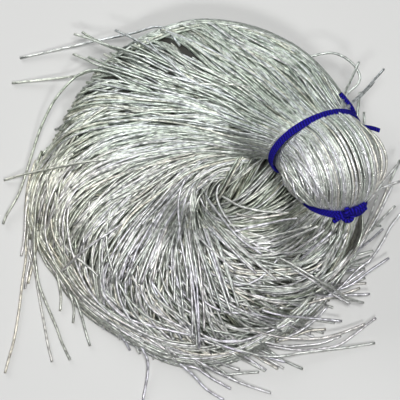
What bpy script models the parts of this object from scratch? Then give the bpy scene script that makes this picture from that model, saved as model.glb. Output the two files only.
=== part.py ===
"""A hank of French bullion wire: cut lengths of fine silver coil wire, bound twice into a round head
and laid down in a flat whorl, with loose wire ends round its rim.

Lengths in the tables are millimetres, and meshes are made in metres, +Z up. The layout is worked in
the whorl's own place first. At the end everything moves so that the origin is the middle of the base.
"""
import math

import bmesh
import bpy
import numpy as np
from mathutils import Vector

MM = 0.001

# Wire and cord: the cord's turns bite into the bunch, and stay a gap away from it
WIRE_ACROSS = 1.1
CORD_ACROSS = 0.8
CORD_TURNS = 3
BITE = 0.25
GAP = 0.3
BAND_STEPS = 44
END_RADIUS = 0.9
END_SIDES = 8
KNOT_LEVELS = 8
KNOT_SIDES = 14
KNOT_GROOVE = 0.12
KNOT_SQUASH = 0.85

# The whorl: its eye, and the rim's distance from the eye by bearing
EYE = (-1.2, -1.2)
RIM_TABLE = (
    # bearing in degrees, distance, crown (share of the full height)
    (0, 67.0, 0.75),
    (30, 69.0, 0.75),
    (60, 71.0, 0.85),
    (90, 72.0, 0.95),
    (120, 68.0, 1.00),
    (150, 65.0, 1.00),
    (180, 71.0, 1.00),
    (210, 64.5, 0.97),
    (240, 62.5, 0.95),
    (270, 66.0, 0.88),
    (300, 64.0, 0.80),
    (330, 66.0, 0.75),
)
PROFILE_TABLE = (
    # share of the way from eye to rim, height of the top
    (0.00, 7.0),
    (0.06, 9.0),
    (0.15, 16.0),
    (0.30, 21.0),
    (0.45, 23.0),
    (0.60, 22.0),
    (0.75, 18.5),
    (0.87, 13.0),
    (0.95, 7.5),
    (1.00, 1.2),
)
LEAN_TABLE = (
    # share of the way from eye to rim, how far the wires lean outward from going round, in degrees
    (0.05, 80.0),
    (0.35, 60.0),
    (0.57, 45.0),
    (0.83, 24.0),
    (1.00, 18.0),
)
WHORL_COLUMNS = 92
WHORL_RINGS = 17
LOCK_RELIEF = 0.95
SWELL = 0.9

# The run: one bound bunch, from under the whorl up to the head, over it and down into the whorl
RUN_TABLE = (
    # x, y, z of the middle, half width, half height, turn of its wires in degrees
    (23.0, -27.0, 7.0, 10.0, 4.0, 0.0),
    (32.0, -25.5, 10.5, 14.5, 7.0, 0.0),
    (42.0, -20.5, 14.5, 16.5, 9.5, 0.0),
    (50.0, -12.5, 19.0, 15.0, 11.5, 0.0),
    (53.5, -3.5, 25.0, 12.7, 12.2, 0.0),
    (51.8, 3.0, 30.0, 17.2, 16.3, 0.0),
    (49.3, 9.8, 33.2, 19.3, 18.0, 0.0),
    (46.8, 15.3, 32.0, 18.9, 16.6, 0.0),
    (44.3, 20.3, 29.0, 17.9, 14.4, 0.0),
    (38.0, 30.0, 23.5, 20.5, 13.0, 8.0),
    (28.0, 38.5, 19.0, 25.0, 12.0, 22.0),
    (14.0, 44.0, 16.0, 28.0, 11.0, 40.0),
    (-1.0, 45.5, 14.5, 28.5, 10.0, 58.0),
    (-17.0, 41.5, 13.0, 26.0, 9.0, 74.0),
    (-31.0, 31.0, 11.5, 23.0, 8.0, 88.0),
    (-40.5, 17.0, 10.0, 19.0, 7.0, 98.0),
    (-45.0, 2.0, 8.0, 14.0, 5.0, 104.0),
)
END_TIE_ROW = 4
NECK_TIE_ROW = 8
STATIONS_PER_ROW = 3
RUN_SIDES = 44
RUN_RELIEF = 1.1

# Loose wires start inside the whorl's wall, and come down to lie level just past the rim
ROOT_SHARE = 0.9
ROOT_HEIGHT = 4.0
FALL_BEFORE = 3.0
FALL_LENGTH = 5.5

# Loose ends round the rim, by sector
FRINGE_TABLE = (
    # from and to bearing, how many, shortest and longest reach past the rim, lean from going round
    (62, 100, 5, 2.0, 4.0, 20.0),
    (131, 146, 4, 2.0, 4.0, 22.0),
    (178, 194, 3, 2.0, 6.0, 24.0),
    (217, 237, 4, 3.0, 8.0, 28.0),
    (262, 280, 5, 4.0, 7.0, 38.0),
    (299, 338, 11, 5.0, 14.0, 48.0),
    (354, 366, 3, 4.0, 9.0, 42.0),
)
STRAY_TABLE = (
    # root's bearing, lean as it leaves, x and y of the tip
    (106, 5, -74.9, 61.3),
    (127, 31, -77.9, 50.2),
    (160, 74, -80.0, 13.5),
    (196, 25, -78.3, -68.6),
    (203, 16, -60.3, -63.8),
    (208, 6, -52.3, -63.4),
    (252, 78, -21.0, -79.2),
    (287, 48, 29.0, -76.1),
    (346, 52, 77.6, -7.0),
    (14, 45, 82.1, 28.0),
)
AIR_WIRE_TABLE = (
    # x, y, z of the root, then of the tip, and how far it bows to its left
    (55.0, 31.0, 24.0, 73.2, 53.4, 14.0, 0.0),
    (43.0, 46.0, 18.0, 61.2, 55.4, 16.0, -3.0),
)

# Knots and cord ends: the lump's middle and radii, and each end's route
NECK_KNOT = (62.0, 29.0, 25.0, 2.2)
NECK_ENDS = (
    ((62.0, 29.0, 25.0), (64.0, 27.6, 22.5), (69.3, 24.3, 20.5)),
    ((62.0, 29.0, 25.0), (60.0, 33.5, 28.5), (54.2, 40.0, 32.5)),
)
END_KNOT = (56.8, -8.6, 34.2, 2.9)
END_ENDS = (
    ((56.8, -8.6, 34.2), (60.0, -5.8, 34.0), (63.4, -4.6, 32.2)),
    ((56.8, -8.6, 34.2), (53.5, -9.8, 33.2), (51.0, -11.6, 31.2)),
)


def finish(name, colour, roughness, metallic):
    material = bpy.data.materials.new(name)
    material.use_nodes = True
    shader = material.node_tree.nodes["Principled BSDF"]
    shader.inputs["Base Color"].default_value = (*colour, 1.0)
    shader.inputs["Roughness"].default_value = roughness
    shader.inputs["Metallic"].default_value = metallic
    return material


def add_object(name, points, faces, material):
    """A closed mesh, given in millimetres, with its faces turned outward."""
    mesh = bpy.data.meshes.new(name)
    mesh.from_pydata([tuple(MM * value for value in point) for point in points], [], faces)
    form = bmesh.new()
    form.from_mesh(mesh)
    bmesh.ops.triangulate(form, faces=form.faces)
    bmesh.ops.recalc_face_normals(form, faces=form.faces)
    form.to_mesh(mesh)
    form.free()
    thing = bpy.data.objects.new(name, mesh)
    thing.data.materials.append(material)
    bpy.context.collection.objects.link(thing)
    return thing


def combine(base, other, operation, solver='EXACT'):
    """Applies a Boolean of the two closed meshes to the first and removes the second."""
    boolean = base.modifiers.new(operation.lower(), 'BOOLEAN')
    boolean.operation = operation
    boolean.solver = solver
    boolean.object = other
    bpy.context.view_layer.update()
    evaluated = base.evaluated_get(bpy.context.evaluated_depsgraph_get())
    result = bpy.data.meshes.new_from_object(evaluated)
    base.modifiers.clear()
    base.data = result
    bpy.data.objects.remove(other, do_unlink=True)


def lofted(rings):
    """Points and faces of a tube through rings with the same number of points, capped at both ends."""
    sides = len(rings[0])
    points = [point for ring in rings for point in ring]
    faces = []
    for row in range(len(rings) - 1):
        for side in range(sides):
            across = (side + 1) % sides
            low = row * sides
            high = low + sides
            faces.append((low + side, low + across, high + across, high + side))
    faces.append(tuple(range(sides)))
    faces.append(tuple(range(len(points) - sides, len(points))))
    return points, faces


def smooth_rows(table, steps):
    """A Catmull-Rom curve through the table's rows, with the given steps between two rows."""
    rows = np.array(table, dtype=float)
    ends = np.vstack([2 * rows[0] - rows[1], rows, 2 * rows[-1] - rows[-2]])
    out = []
    for index in range(len(rows) - 1):
        before, here, there, after = ends[index:index + 4]
        for step in range(steps):
            t = step / steps
            out.append(0.5 * (2 * here + (there - before) * t
                              + (2 * before - 5 * here + 4 * there - after) * t ** 2
                              + (3 * here - before - 3 * there + after) * t ** 3))
    out.append(rows[-1])
    return np.array(out)


def by_bearing(column, bearing):
    """The rim table's column at a bearing in radians, eased between its rows."""
    rows = len(RIM_TABLE)
    place = (math.degrees(bearing) % 360.0) / (360.0 / rows)
    low = int(place) % rows
    ease = 0.5 - 0.5 * math.cos(math.pi * (place - int(place)))
    return RIM_TABLE[low][column] * (1 - ease) + RIM_TABLE[(low + 1) % rows][column] * ease


def by_share(table, share):
    return float(np.interp(share, [row[0] for row in table], [row[1] for row in table]))


def whorl_height(share, bearing):
    return by_share(PROFILE_TABLE, share) * by_bearing(2, bearing)


def whorl_point(share, bearing, height):
    reach = share * by_bearing(1, bearing)
    return (EYE[0] + reach * math.cos(bearing), EYE[1] + reach * math.sin(bearing), height)


def wind_up(shares):
    """The angle that a wire has gone round by each share, from its lean along the way."""
    angles = [0.0]
    for inner, outer in zip(shares[:-1], shares[1:]):
        middle = (inner + outer) / 2
        lean = math.radians(by_share(LEAN_TABLE, middle))
        angles.append(angles[-1] + (outer - inner) / middle / math.tan(lean))
    return angles


def build_whorl(material):
    """The laid body: rings from the eye to the rim, turned along the wires, with raised locks of wire."""
    dice = np.random.default_rng(4)
    shares = [0.05 + 0.95 * (ring / (WHORL_RINGS - 1)) ** 0.85 for ring in range(WHORL_RINGS)]
    angles = wind_up(shares)
    weights = [(-1) ** column * dice.uniform(0.45, 1.0) for column in range(WHORL_COLUMNS)]
    points = [whorl_point(0.0, 0.0, PROFILE_TABLE[0][1])]
    for share, angle in zip(shares, angles):
        fade = min(1.0, share / 0.4) * min(1.0, (1.0 - share) / 0.12)
        for column in range(WHORL_COLUMNS):
            start = 2 * math.pi * column / WHORL_COLUMNS
            bearing = start + angle
            height = whorl_height(share, bearing)
            swell = SWELL * math.sin(3 * start + 5 * share) * math.sin(5 * start - 7 * share + 1)
            points.append(whorl_point(share, bearing, height + fade * (LOCK_RELIEF * weights[column] + swell)))
    last = len(points) - WHORL_COLUMNS
    points += [(x, y, 0.0) for x, y, z in points[last:]]
    faces = [(0, 1 + column, 1 + (column + 1) % WHORL_COLUMNS) for column in range(WHORL_COLUMNS)]
    for ring in range(WHORL_RINGS):
        low = 1 + ring * WHORL_COLUMNS
        for column in range(WHORL_COLUMNS):
            across = (column + 1) % WHORL_COLUMNS
            faces.append((low + column, low + WHORL_COLUMNS + column,
                          low + WHORL_COLUMNS + across, low + across))
    faces.append(tuple(range(len(points) - WHORL_COLUMNS, len(points))))
    return add_object("hank", points, faces, material)


def directions(middles):
    """Side, up and onward directions at each point of a route that is never upright."""
    out = []
    for along in np.gradient(np.array(middles, dtype=float), axis=0):
        along = along / np.linalg.norm(along)
        side = np.cross(along, (0.0, 0.0, 1.0))
        side = side / np.linalg.norm(side)
        out.append((side, np.cross(side, along), along))
    return out


def run_frames():
    """Each station of the run: middle, side, up and onward directions, half sizes and turn."""
    rows = smooth_rows(RUN_TABLE, STATIONS_PER_ROW)
    return [(row[:3], side, up, along, row[3], row[4], math.radians(row[5]))
            for row, (side, up, along) in zip(rows, directions(rows[:, :3]))]


def build_run(frames, material):
    """The bound bunch as one tube: raised locks that follow its wires, smooth where it is bound."""
    dice = np.random.default_rng(9)
    weights = [(-1) ** side * dice.uniform(0.4, 1.0) for side in range(RUN_SIDES)]
    ties = [row * STATIONS_PER_ROW for row in (END_TIE_ROW, NECK_TIE_ROW)]
    rings = []
    for station, (middle, side, up, along, half_width, half_height, turn) in enumerate(frames):
        fade = min(1.0, min(abs(station - tie) for tie in ties) / 2.0)
        ring = []
        for index in range(RUN_SIDES):
            angle = 2 * math.pi * index / RUN_SIDES + turn
            raised = fade * RUN_RELIEF * weights[index]
            ring.append(middle + side * (half_width + raised) * math.cos(angle)
                        + up * (half_height + raised) * math.sin(angle))
        rings.append(ring)
    points, faces = lofted(rings)
    return add_object("run", points, faces, material)


def wire_end(route):
    """Points and faces of one three-sided loose wire with a flat underside along its route."""
    top = np.array((0.0, 0.0, WIRE_ACROSS))
    rings = []
    for point, (side, up, along) in zip(np.array(route), directions(route)):
        rings.append((point - side * WIRE_ACROSS / 2, point + side * WIRE_ACROSS / 2, point + top))
    return lofted(rings)


def settle(start, heading, tip, steps=7):
    """A route that leaves the whorl's wall along a heading, comes down past the rim and lies level."""
    start = np.array(start[:2])
    tip = np.array(tip)
    span = np.linalg.norm(tip - start)
    leave = span * np.array((math.cos(heading), math.sin(heading)))
    arrive = tip - start
    route = []
    for step in range(steps):
        t = step / (steps - 1)
        flat = ((2 * t ** 3 - 3 * t ** 2 + 1) * start + (t ** 3 - 2 * t ** 2 + t) * leave
                + (3 * t ** 2 - 2 * t ** 3) * tip + (t ** 3 - t ** 2) * arrive)
        from_eye = flat - np.array(EYE)
        rim = by_bearing(1, math.atan2(from_eye[1], from_eye[0]))
        down = min(1.0, max(0.0, (np.linalg.norm(from_eye) - rim + FALL_BEFORE) / FALL_LENGTH))
        route.append((flat[0], flat[1], ROOT_HEIGHT * (1.0 - down) ** 1.5))
    return route


def loose_routes():
    """Routes of all loose wires: the fringe by sector, the long strays, and those that stand free."""
    dice = np.random.default_rng(21)
    routes = []
    for first, last, count, least, most, lean in FRINGE_TABLE:
        for index in range(count):
            bearing = math.radians(first + (last - first) * (index + 0.5) / count)
            root = whorl_point(ROOT_SHARE, bearing, 0.0)
            heading = bearing + math.radians(90.0 - lean)
            reach = dice.uniform(least, most) + (1 - ROOT_SHARE) * by_bearing(1, bearing)
            length = reach / math.sin(math.radians(lean))
            curl = math.radians(dice.uniform(-2.0, 5.0))
            tip = (root[0] + length * math.cos(heading + curl), root[1] + length * math.sin(heading + curl))
            routes.append(settle(root, heading, tip))
    for bearing, lean, x, y in STRAY_TABLE:
        bearing = math.radians(bearing)
        root = whorl_point(ROOT_SHARE, bearing, 0.0)
        routes.append(settle(root, bearing + math.radians(90.0 - lean), (x, y), steps=9))
    for x, y, z, tip_x, tip_y, tip_z, bow in AIR_WIRE_TABLE:
        root = np.array((x, y, z))
        tip = np.array((tip_x, tip_y, tip_z))
        aside = np.cross((0.0, 0.0, 1.0), tip - root)
        aside = aside / np.linalg.norm(aside)
        steps = np.linspace(0.0, 1.0, 7)
        routes.append([root + (tip - root) * t + aside * bow * math.sin(math.pi * t) for t in steps])
    return routes


def root_loose_wires(hank, routes, material):
    """Roots each loose wire in the hank, one after another."""
    for route in routes:
        combine(hank, add_object("loose", *wire_end(route), material), 'UNION')


def band_section(grow):
    """The bound cord's section, as (along the bunch, out from it): side-by-side turns, or their relief."""
    half = CORD_ACROSS * CORD_TURNS / 2
    if grow > 0:
        return [(-half - grow, -grow - BITE), (half + grow, -grow - BITE),
                (half + grow, CORD_ACROSS + grow), (-half - grow, CORD_ACROSS + grow)]
    section = [(-half, -BITE), (half, -BITE)]
    for turn in range(CORD_TURNS):
        middle = half - CORD_ACROSS * (turn + 0.5)
        section.append((middle + CORD_ACROSS * 0.5, CORD_ACROSS * 0.5))
        section.append((middle, CORD_ACROSS))
    section.append((-half, CORD_ACROSS * 0.5))
    return section


def band(frame, grow):
    """Points and faces of the cord's turns round the bunch, or of the room that they need."""
    middle, side, up, along, half_width, half_height, turn = frame
    section = band_section(grow)
    points = []
    for step in range(BAND_STEPS):
        angle = 2 * math.pi * step / BAND_STEPS
        for axial, out in section:
            points.append(middle + along * axial + side * (half_width + out) * math.cos(angle)
                          + up * (half_height + out) * math.sin(angle))
    count = len(section)
    faces = []
    for step in range(BAND_STEPS):
        here = step * count
        there = (step + 1) % BAND_STEPS * count
        for index in range(count):
            across = (index + 1) % count
            faces.append((here + index, here + across, there + across, there + index))
    return points, faces


def cord_end(route, grow):
    """A cord's cut end as a round rod along a smooth route."""
    middles = smooth_rows(route, 4)
    radius = END_RADIUS + grow
    rings = []
    for point, (side, up, along) in zip(middles, directions(middles)):
        angles = [2 * math.pi * index / END_SIDES for index in range(END_SIDES)]
        rings.append([point + radius * (side * math.cos(a) + up * math.sin(a)) for a in angles])
    return lofted(rings)


def lump(knot, grow):
    """A tied knot's rounded mass, grooved where one cord crosses the other."""
    x, y, z, radius = knot
    rings = []
    for level in range(KNOT_LEVELS):
        polar = math.pi * (level + 0.5) / KNOT_LEVELS
        ring = []
        for index in range(KNOT_SIDES):
            angle = 2 * math.pi * index / KNOT_SIDES
            wave = math.sin(2 * angle + 2 * polar) if grow == 0 else 1.0
            reach = radius * (1 + KNOT_GROOVE * wave) + grow
            ring.append((x + reach * math.sin(polar) * math.cos(angle),
                         y + reach * math.sin(polar) * math.sin(angle),
                         z + KNOT_SQUASH * reach * math.cos(polar)))
        rings.append(ring)
    return lofted(rings)


def build_tie(name, frame, knot, ends, material, grow=0.0):
    tie = add_object(name, *band(frame, grow), material)
    combine(tie, add_object("knot", *lump(knot, grow), material), 'UNION')
    for route in ends:
        combine(tie, add_object("end", *cord_end(route, grow), material), 'UNION')
    return tie


def recentre(things):
    """Moves every mesh so that the origin is the middle of the base of all of them together."""
    corners = np.array([vertex.co[:] for thing in things for vertex in thing.data.vertices])
    low = corners.min(axis=0)
    high = corners.max(axis=0)
    shift = Vector((-(low[0] + high[0]) / 2, -(low[1] + high[1]) / 2, -low[2]))
    for thing in things:
        for vertex in thing.data.vertices:
            vertex.co += shift
        thing.data.update()
    print("shift in millimetres", [round(value / MM, 4) for value in shift])


def main():
    for thing in list(bpy.data.objects):
        bpy.data.objects.remove(thing, do_unlink=True)
    silver = finish("silver_wire", (0.62, 0.63, 0.62), 0.32, 1.0)
    blue = finish("blue_cord", (0.03, 0.03, 0.22), 0.75, 0.0)
    frames = run_frames()
    neck = frames[NECK_TIE_ROW * STATIONS_PER_ROW]
    end = frames[END_TIE_ROW * STATIONS_PER_ROW]
    hank = build_whorl(silver)
    combine(hank, build_run(frames, silver), 'UNION')
    ties = []
    for name, frame, knot, ends in (("neck_tie", neck, NECK_KNOT, NECK_ENDS),
                                    ("end_tie", end, END_KNOT, END_ENDS)):
        relief = build_tie("relief", frame, knot, ends, silver, grow=GAP)
        # The exact solver empties the hank here, so this cut takes the other one
        combine(hank, relief, 'DIFFERENCE', solver='MANIFOLD')
        ties.append(build_tie(name, frame, knot, ends, blue))
    root_loose_wires(hank, loose_routes(), silver)
    recentre([hank] + ties)
    for thing in [hank] + ties:
        print(thing.name, len(thing.data.polygons), "faces")


main()
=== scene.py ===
import math

import bpy
import numpy as np
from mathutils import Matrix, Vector
from mathutils.bvhtree import BVHTree


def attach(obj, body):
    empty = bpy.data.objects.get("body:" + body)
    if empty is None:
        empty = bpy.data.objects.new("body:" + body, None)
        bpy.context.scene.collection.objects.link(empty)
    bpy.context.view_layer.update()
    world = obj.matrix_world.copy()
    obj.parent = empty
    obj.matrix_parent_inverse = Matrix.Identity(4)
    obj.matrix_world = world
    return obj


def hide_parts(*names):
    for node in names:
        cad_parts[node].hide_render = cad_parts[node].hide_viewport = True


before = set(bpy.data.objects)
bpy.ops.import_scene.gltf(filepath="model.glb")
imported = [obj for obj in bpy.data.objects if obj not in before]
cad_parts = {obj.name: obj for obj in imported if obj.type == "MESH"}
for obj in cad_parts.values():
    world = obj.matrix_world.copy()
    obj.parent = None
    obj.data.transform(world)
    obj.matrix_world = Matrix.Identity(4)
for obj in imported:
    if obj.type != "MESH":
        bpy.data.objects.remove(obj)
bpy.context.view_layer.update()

# The view from above
# The hank is seen almost straight down, from its south side, through a long lens. Places in the
# sections below are millimetres on the surface it lies on, or pixels of this view of 400 by 400.
MM = 0.001
HANK_SHIFT = np.array((-1.1022, -0.291, 0.0))
VIEW_TILT = math.radians(82.0)
VIEW_AWAY = 440.0
VIEW_AIM = np.array((0.0, 0.0, 12.0))
PIXEL = 0.4
VIEW_PIXELS = 400
SENSOR = 36.0
back = np.array((0.0, -math.cos(VIEW_TILT), math.sin(VIEW_TILT)))
right = np.array((1.0, 0.0, 0.0))
upward = np.cross(back, right)

camera_data = bpy.data.cameras.new("camera")
camera_data.sensor_width = SENSOR
camera_data.lens = SENSOR * VIEW_AWAY / (PIXEL * VIEW_PIXELS)
camera_data.clip_start = 0.02
camera = bpy.data.objects.new("camera", camera_data)
bpy.context.collection.objects.link(camera)
camera.location = Vector(MM * (VIEW_AIM + back * VIEW_AWAY + HANK_SHIFT))
camera.rotation_mode = "QUATERNION"
camera.rotation_quaternion = Vector(-back).to_track_quat("-Z", "Y")
bpy.context.scene.camera = camera
bpy.context.scene.view_settings.view_transform = "Standard"


def from_view(column, row, height):
    """Where the view's pixel meets the level at a height."""
    middle = VIEW_PIXELS / 2
    ray = -back * VIEW_AWAY + PIXEL * ((column - middle) * right + (middle - row) * upward)
    eye = VIEW_AIM + back * VIEW_AWAY
    return eye + ray * (height - eye[2]) / ray[2]


# The table under the hank, and the light
# A plain pale surface, one broad soft lamp nearly overhead for the wire's bright lines, one lower
# lamp from the far side, and a soft sky that is brighter on that side.
FLOOR_SIZE = 3.0
bpy.ops.mesh.primitive_plane_add(size=FLOOR_SIZE, location=(0.0, 0.0, -0.0002))
floor = bpy.context.active_object
floor.name = "table"
floor_finish = bpy.data.materials.new("pale table")
floor_finish.use_nodes = True
floor_shader = floor_finish.node_tree.nodes["Principled BSDF"]
floor_shader.inputs["Base Color"].default_value = (0.55, 0.55, 0.54, 1.0)
floor_shader.inputs["Roughness"].default_value = 0.85
floor.data.materials.append(floor_finish)

LAMPS = (
    # name, place in metres, size, power
    ("overhead", (0.06, 0.02, 0.80), 0.25, 4.7),
    ("far side", (-0.52, 0.62, 0.42), 0.42, 3.4),
    ("near side", (0.12, -0.46, 0.72), 0.14, 2.6),
)
for name, place, size, power in LAMPS:
    lamp_data = bpy.data.lights.new(name, "AREA")
    lamp_data.size = size
    lamp_data.energy = power
    lamp = bpy.data.objects.new(name, lamp_data)
    bpy.context.collection.objects.link(lamp)
    lamp.location = place
    lamp.rotation_mode = "QUATERNION"
    lamp.rotation_quaternion = (-Vector(place)).to_track_quat("-Z", "Y")
SKY_NEAR = 0.09
SKY_FAR = 0.32
world = bpy.data.worlds.new("soft sky")
world.use_nodes = True
sky = world.node_tree.nodes["Background"]
sky.inputs["Color"].default_value = (0.92, 0.95, 1.0, 1.0)
sky_place = world.node_tree.nodes.new("ShaderNodeTexCoord")
sky_sides = world.node_tree.nodes.new("ShaderNodeSeparateXYZ")
world.node_tree.links.new(sky_place.outputs["Generated"], sky_sides.inputs[0])
sky_span = world.node_tree.nodes.new("ShaderNodeMapRange")
sky_span.interpolation_type = "SMOOTHSTEP"
sky_span.inputs["To Min"].default_value = SKY_NEAR
sky_span.inputs["To Max"].default_value = SKY_FAR
world.node_tree.links.new(sky_sides.outputs["Y"], sky_span.inputs["Value"])
world.node_tree.links.new(sky_span.outputs["Result"], sky.inputs["Strength"])
bpy.context.scene.world = world


# The whorl that the bunch is laid in
# A low round heap, hollow at its eye, with a steep rim. Its wires lie in this form. Only what is
# packed out of sight is a plain body, sunk under the wires and coloured near black as painted shade.
EYE = np.array((-1.2, -1.2))
RIM_BEARINGS = np.arange(0, 361, 30)
RIM_REACH = np.array((67.0, 69.0, 71.0, 72.0, 68.0, 65.0, 71.0, 64.5, 62.5, 66.0, 64.0, 66.0, 67.0))
RIM_CROWN = np.array((0.75, 0.75, 0.85, 0.95, 1.0, 1.0, 1.0, 0.97, 0.95, 0.88, 0.8, 0.75, 0.75))
TOP_SHARE = (0.0, 0.06, 0.15, 0.30, 0.45, 0.60, 0.75, 0.87, 0.95, 1.0)
TOP_HEIGHT = (7.0, 9.0, 16.0, 21.0, 23.0, 22.0, 18.5, 13.0, 7.5, 1.2)


def by_bearing(values, bearings):
    """A rim value at each bearing in radians, eased between its rows."""
    place = (np.degrees(bearings) % 360.0) / 30.0
    low = place.astype(int) % 12
    ease = 0.5 - 0.5 * np.cos(np.pi * (place - np.floor(place)))
    return values[low] * (1 - ease) + values[low + 1] * ease


def whorl_place(points):
    """The share of the way from eye to rim, and the bearing, of points on the surface."""
    away = points[..., :2] - EYE
    bearings = np.arctan2(away[..., 1], away[..., 0])
    return np.linalg.norm(away, axis=-1) / by_bearing(RIM_REACH, bearings), bearings


def lofted(rings):
    """Points and faces of a form through rings of equal count, capped at both ends."""
    count = len(rings[0])
    points = [tuple(point) for ring in rings for point in ring]
    faces = []
    for row in range(len(rings) - 1):
        for index in range(count):
            across = (index + 1) % count
            low = row * count
            faces.append((low + index, low + count + index, low + count + across, low + across))
    faces.append(tuple(range(count)))
    faces.append(tuple(reversed(range(len(points) - count, len(points)))))
    return points, faces


def whorl_rings(sink, shrink):
    """Rings of the heap from its eye to its foot, sunk and drawn in by the given amounts."""
    turns = np.linspace(0, 2 * np.pi, 72, endpoint=False)
    rings = []
    for share in np.linspace(0.04, 1.0, 22):
        reach = share * (by_bearing(RIM_REACH, turns) - shrink)
        height = np.interp(share, TOP_SHARE, TOP_HEIGHT) * by_bearing(RIM_CROWN, turns) - sink
        rings.append(np.stack([EYE[0] + reach * np.cos(turns), EYE[1] + reach * np.sin(turns),
                               np.maximum(height, 0.5)], axis=1))
    foot = rings[-1].copy()
    foot[:, 2] = 0.2
    return rings + [foot]


# The bound bunch: from under the whorl up to the head, over it and down into the whorl again
# Rows follow the bunch. It is narrow where the two ties draw it in, and widens past the neck.
BUNCH_ROWS = np.array((
    # x, y, z of the middle, half width, half height, turn of its wires in degrees
    (23.0, -27.0, 7.0, 10.0, 4.0, 0.0),
    (32.0, -25.5, 10.5, 14.5, 7.0, 0.0),
    (42.0, -20.5, 14.5, 16.5, 9.5, 0.0),
    (49.5, -11.0, 19.0, 15.0, 11.5, 0.0),
    (51.8, -1.4, 25.5, 11.6, 11.4, 0.0),
    (51.6, 4.2, 30.0, 17.2, 15.8, 0.0),
    (49.8, 10.3, 32.8, 18.6, 17.4, 0.0),
    (47.2, 15.6, 32.0, 18.2, 16.4, 0.0),
    (44.3, 20.3, 29.0, 17.9, 14.4, 0.0),
    (39.4, 31.4, 24.0, 19.3, 13.2, 8.0),
    (29.0, 39.8, 19.2, 23.5, 12.2, 22.0),
    (14.5, 45.2, 16.2, 26.5, 11.2, 40.0),
    (-1.0, 45.5, 14.5, 28.5, 10.0, 58.0),
    (-17.0, 41.5, 13.0, 26.0, 9.0, 74.0),
    (-31.0, 31.0, 11.5, 23.0, 8.0, 88.0),
    (-40.5, 17.0, 10.0, 19.0, 7.0, 98.0),
    (-45.0, 2.0, 8.0, 14.0, 5.0, 104.0),
))
END_TIE_ROW = 4.0
NECK_TIE_ROW = 8.0


def bunch_row(places):
    """Smooth values of the rows at places counted in rows, such as 4.5 for between 4 and 5."""
    places = np.atleast_1d(places)
    ends = np.vstack([2 * BUNCH_ROWS[0] - BUNCH_ROWS[1], BUNCH_ROWS,
                      2 * BUNCH_ROWS[-1] - BUNCH_ROWS[-2]])
    low = np.clip(np.floor(places).astype(int), 0, len(BUNCH_ROWS) - 2)
    t = (places - low)[:, None]
    before, here, there, after = ends[low], ends[low + 1], ends[low + 2], ends[low + 3]
    return 0.5 * (2 * here + (there - before) * t
                  + (2 * before - 5 * here + 4 * there - after) * t ** 2
                  + (3 * here - before - 3 * there + after) * t ** 3)


def bunch_frame(places):
    """Middle, side, up and onward directions, half width and half height at places."""
    rows = bunch_row(places)
    along = bunch_row(np.asarray(places) + 0.02)[:, :3] - bunch_row(np.asarray(places) - 0.02)[:, :3]
    along /= np.linalg.norm(along, axis=1, keepdims=True)
    side = np.cross(along, (0.0, 0.0, 1.0))
    side /= np.linalg.norm(side, axis=1, keepdims=True)
    return rows[:, :3], side, np.cross(side, along), along, rows[:, 3], rows[:, 4]


def on_bunch(places, angles, inset):
    """Points on the bunch at places and angles round it, sunk by an inset in millimetres."""
    middle, side, up, along, wide, high = bunch_frame(places)
    wide = (wide - inset)[:, None]
    high = (high - inset)[:, None]
    return middle + side * wide * np.cos(angles)[:, None] + up * high * np.sin(angles)[:, None]


def bunch_rings(first, last, inset):
    turns = np.linspace(0, 2 * np.pi, 40, endpoint=False)
    places = np.arange(first, last + 0.01, 0.25)
    return [on_bunch(np.full(40, place), -turns, inset) for place in places]


CORE_SINK = 5.6
# The hidden body is coloured near black: painted shade where it shows in the gaps between the wires.
painted_shade_core_finish = bpy.data.materials.new("packed wire out of sight")
painted_shade_core_finish.use_nodes = True
core_shader = painted_shade_core_finish.node_tree.nodes["Principled BSDF"]
core_shader.inputs["Base Color"].default_value = (0.035, 0.036, 0.030, 1.0)
core_shader.inputs["Metallic"].default_value = 0.4
core_shader.inputs["Roughness"].default_value = 0.7
for name, rings in (("whorl_core", whorl_rings(CORE_SINK, 3.0)),
                    ("bunch_core", bunch_rings(0.0, 16.0, 2.4))):
    points, faces = lofted(rings)
    core_mesh = bpy.data.meshes.new(name)
    core_mesh.from_pydata([tuple(MM * (np.array(point) + HANK_SHIFT)) for point in points], [], faces)
    core = bpy.data.objects.new(name, core_mesh)
    bpy.context.collection.objects.link(core)
    core.data.materials.append(painted_shade_core_finish)
    core.data.shade_smooth()
    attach(core, "root")
    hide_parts("hank")


def form_tree(parts):
    """A search tree over several lofted forms, in millimetres."""
    points = []
    faces = []
    for rings in parts:
        more, more_faces = lofted(rings)
        faces += [tuple(index + len(points) for index in face) for face in more_faces]
        points += more
    return BVHTree.FromPolygons([Vector(point) for point in points], faces)


upper_form = form_tree([whorl_rings(0.0, 0.0), bunch_rings(0.0, 3.4, 0.0), bunch_rings(8.0, 16.0, 0.0)])
lower_form = form_tree([whorl_rings(0.0, 0.0), bunch_rings(0.0, 4.0, 0.0)])


def top_of(form, points):
    """The height of a form's top under each point, or zero beside it."""
    out = np.zeros(len(points))
    for index, point in enumerate(points):
        hit = form.ray_cast(Vector((point[0], point[1], 90.0)), Vector((0.0, 0.0, -1.0)))
        if hit[0] is not None:
            out[index] = hit[0][2]
    return out


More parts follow.
